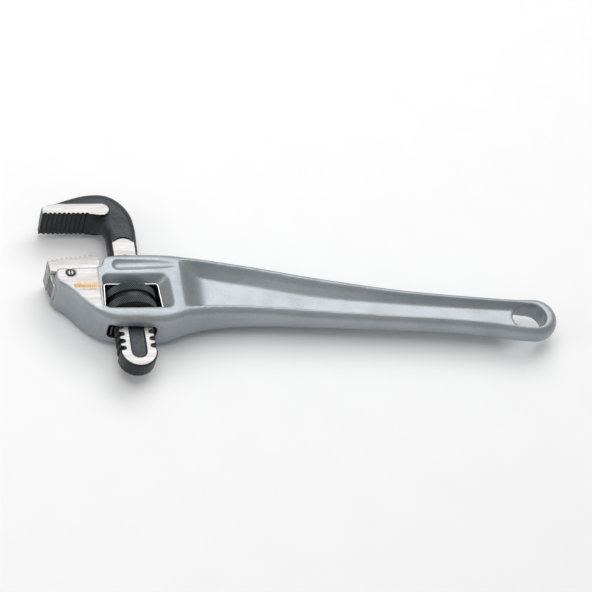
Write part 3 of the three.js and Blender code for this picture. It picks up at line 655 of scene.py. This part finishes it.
def bevelled_copy(node, name, width, material, angle=28.0):
    """A merged copy of a machined node with small rounded edges."""
    bm = merged_copy(node)
    bmesh.ops.dissolve_limit(
        bm, angle_limit=math.radians(1.0), verts=bm.verts, edges=bm.edges,
        use_dissolve_boundaries=False)
    sharp = [e for e in bm.edges if e.is_manifold and e.calc_face_angle(0) > math.radians(angle)]
    bmesh.ops.bevel(
        bm, geom=sharp, offset=width, offset_type="OFFSET", segments=2, profile=0.5,
        affect="EDGES", material=-1, clamp_overlap=True)
    return finished(bm, name, material, 32.0)


def make_heel():
    piece = bevelled_copy(
        "heel_jaw", "heel", 0.18 * MM, steel_material("ground_jaw_steel", (0.0, 0.0, 0.1)))
    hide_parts("heel_jaw")
    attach(piece, "housing")


def make_pin():
    """Plain pin with a dark rim and bright dished, slotted ends."""
    material, t, shader, place = new_material("dark_pin_steel")
    face = t.group(FACE_MASK, Vector=place, Middle=CENTRE.z, Above=GROUND - 0.5 * MM, Below=1.0)
    dx = t.maths("SUBTRACT", face["X"], PIN.x)
    dy = t.maths("SUBTRACT", face["Y"], PIN.y)
    away = t.maths("SQRT", t.maths("ADD", t.maths("MULTIPLY", dx, dx), t.maths("MULTIPLY", dy, dy)))
    rim = multiply(t, face["Mask"], t.ramp(away, PIN_R * 0.62, PIN_R * 0.70, 1.0, 0.0))
    grain = t.noise(place, 1500.0, 3.0, 0.6)
    colour = t.mix(grain, (0.035, 0.035, 0.036, 1), (0.085, 0.085, 0.086, 1))
    colour = t.mix(rim, colour, (0.36, 0.355, 0.35, 1))
    t.put(shader, "Base Color", colour)
    t.put(shader, "Roughness", t.blend(grain, 0.3, 0.45))
    shader.inputs["Metallic"].default_value = 0.9
    t.put(shader, "Normal", bump(t, grain, 0.03 * MM, 0.5))
    piece = bevelled_copy("heel_jaw_pin", "pin", 0.12 * MM, material, 40.0)
    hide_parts("heel_jaw_pin")
    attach(piece, "housing")


def spring_material(name):
    material, t, shader, place = new_material(name)
    grain = t.noise(t.stretch(place, (1.0, 0.15, 1.0)), 1800.0, 3.0, 0.6)
    t.put(shader, "Base Color", t.mix(grain, (0.12, 0.125, 0.135, 1), (0.30, 0.31, 0.32, 1)))
    t.put(shader, "Roughness", t.blend(grain, 0.28, 0.4))
    shader.inputs["Metallic"].default_value = 0.95
    t.put(shader, "Normal", bump(t, grain, 0.03 * MM, 0.4))
    return material


def make_springs():
    steel = spring_material("blued_spring_steel")
    leaf = bevelled_copy("leaf_spring", "leaf", 0.15 * MM, steel, 30.0)
    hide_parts("leaf_spring")
    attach(leaf, "float")

    low, high = (Vector(c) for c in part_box("coil_spring"))
    wire = 0.36 * MM
    turns = 3
    radius = (high.z - low.z) / 2 - wire
    middle = (low + high) / 2
    start = low.x + wire * 1.1
    travel = high.x - low.x - 2.2 * wire
    steps = turns * 28
    bm = bmesh.new()
    spot = Matrix.Translation((start, middle.y + radius, middle.z))
    made = bmesh.ops.create_circle(
        bm, cap_ends=True, radius=wire, segments=12, matrix=spot @ Matrix.Rotation(math.pi, 4, "X"))
    faces = list({f for v in made["verts"] for f in v.link_faces})
    bmesh.ops.spin(
        bm, geom=made["verts"] + faces + list({e for f in faces for e in f.edges}),
        cent=(start, middle.y, middle.z), axis=(1, 0, 0), dvec=(travel / steps, 0, 0),
        angle=2 * math.pi * turns, steps=steps, use_merge=False, use_duplicate=False)
    bmesh.ops.remove_doubles(bm, verts=bm.verts, dist=0.001 * MM)
    bmesh.ops.recalc_face_normals(bm, faces=bm.faces)
    coil = finished(bm, "coil", steel, 45.0)
    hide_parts("coil_spring")
    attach(coil, "housing")
    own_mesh(coil)


def make_label():
    piece = bevelled_copy("label", "film", 0.05 * MM, label_material(), 40.0)
    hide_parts("label")
    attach(piece, "housing")


def make_floor():
    bm = bmesh.new()
    bmesh.ops.create_grid(bm, x_segments=1, y_segments=1, size=6.0)
    floor = finished(bm, "floor", floor_material())


bpy.context.scene.view_settings.view_transform = "Standard"
make_camera()
make_world(0.38)
area_light("back_key", at(480, 900, 1290), at(40, 0, 0), (1.5, 0.9), 12.0)
area_light("overhead", at(-250, 100, 1500), at(40, 0, 0), (1.0, 1.0), 9.0)
area_light("left_window", at(-1100, -250, 700), at(0, 20, 0), (0.6, 0.6), 2.0)
make_floor()
make_casting()
make_hook()
make_window_rims()
make_nut()
make_heel()
make_pin()
make_springs()
make_label()
